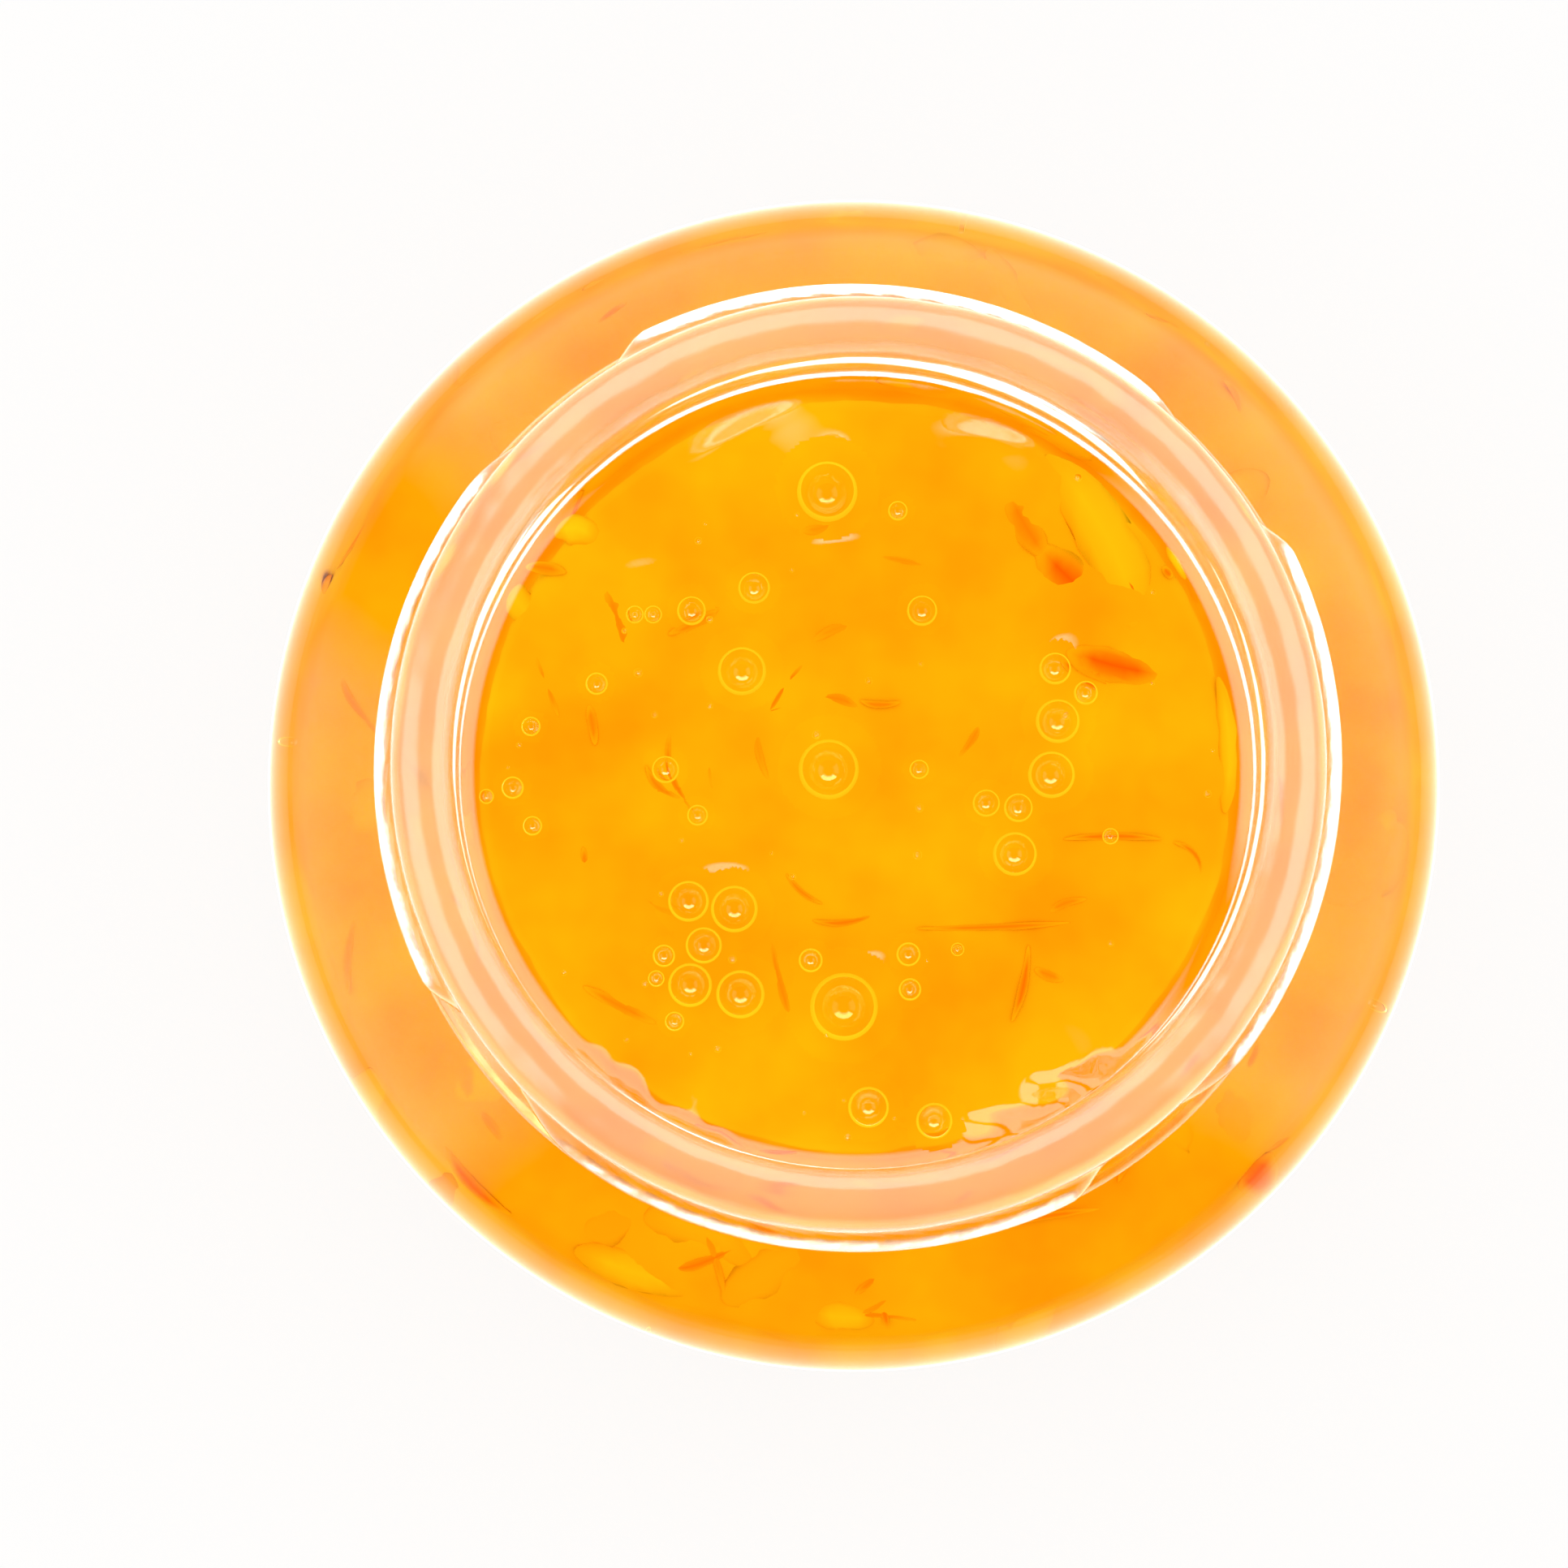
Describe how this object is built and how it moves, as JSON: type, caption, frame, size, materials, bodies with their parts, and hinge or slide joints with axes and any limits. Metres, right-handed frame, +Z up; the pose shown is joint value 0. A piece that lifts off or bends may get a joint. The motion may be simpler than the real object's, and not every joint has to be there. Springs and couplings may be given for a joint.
{
  "type": "jar of chutney",
  "caption": "Round glass jar with a twist-off neck, open, filled with clear golden fruit chutney that shows air bubbles, fruit pieces and peel shreds.",
  "frame": {"origin": "centre of the bearing ring, on the plane the jar stands on", "axes": "+Z up along the jar's axis, towards the mouth; the neck's lugs have their high ends at 33, 123, 213 and 303 degrees counterclockwise from +X"},
  "size_m": [0.0792, 0.0792, 0.096],
  "materials": {
    "jar_glass": "clear, fire-polished",
    "chutney": "wet, translucent gel"
  },
  "bodies": {
    "root": {"jar_glass": "jar_glass", "chutney": "chutney"}
  },
  "joints": []
}
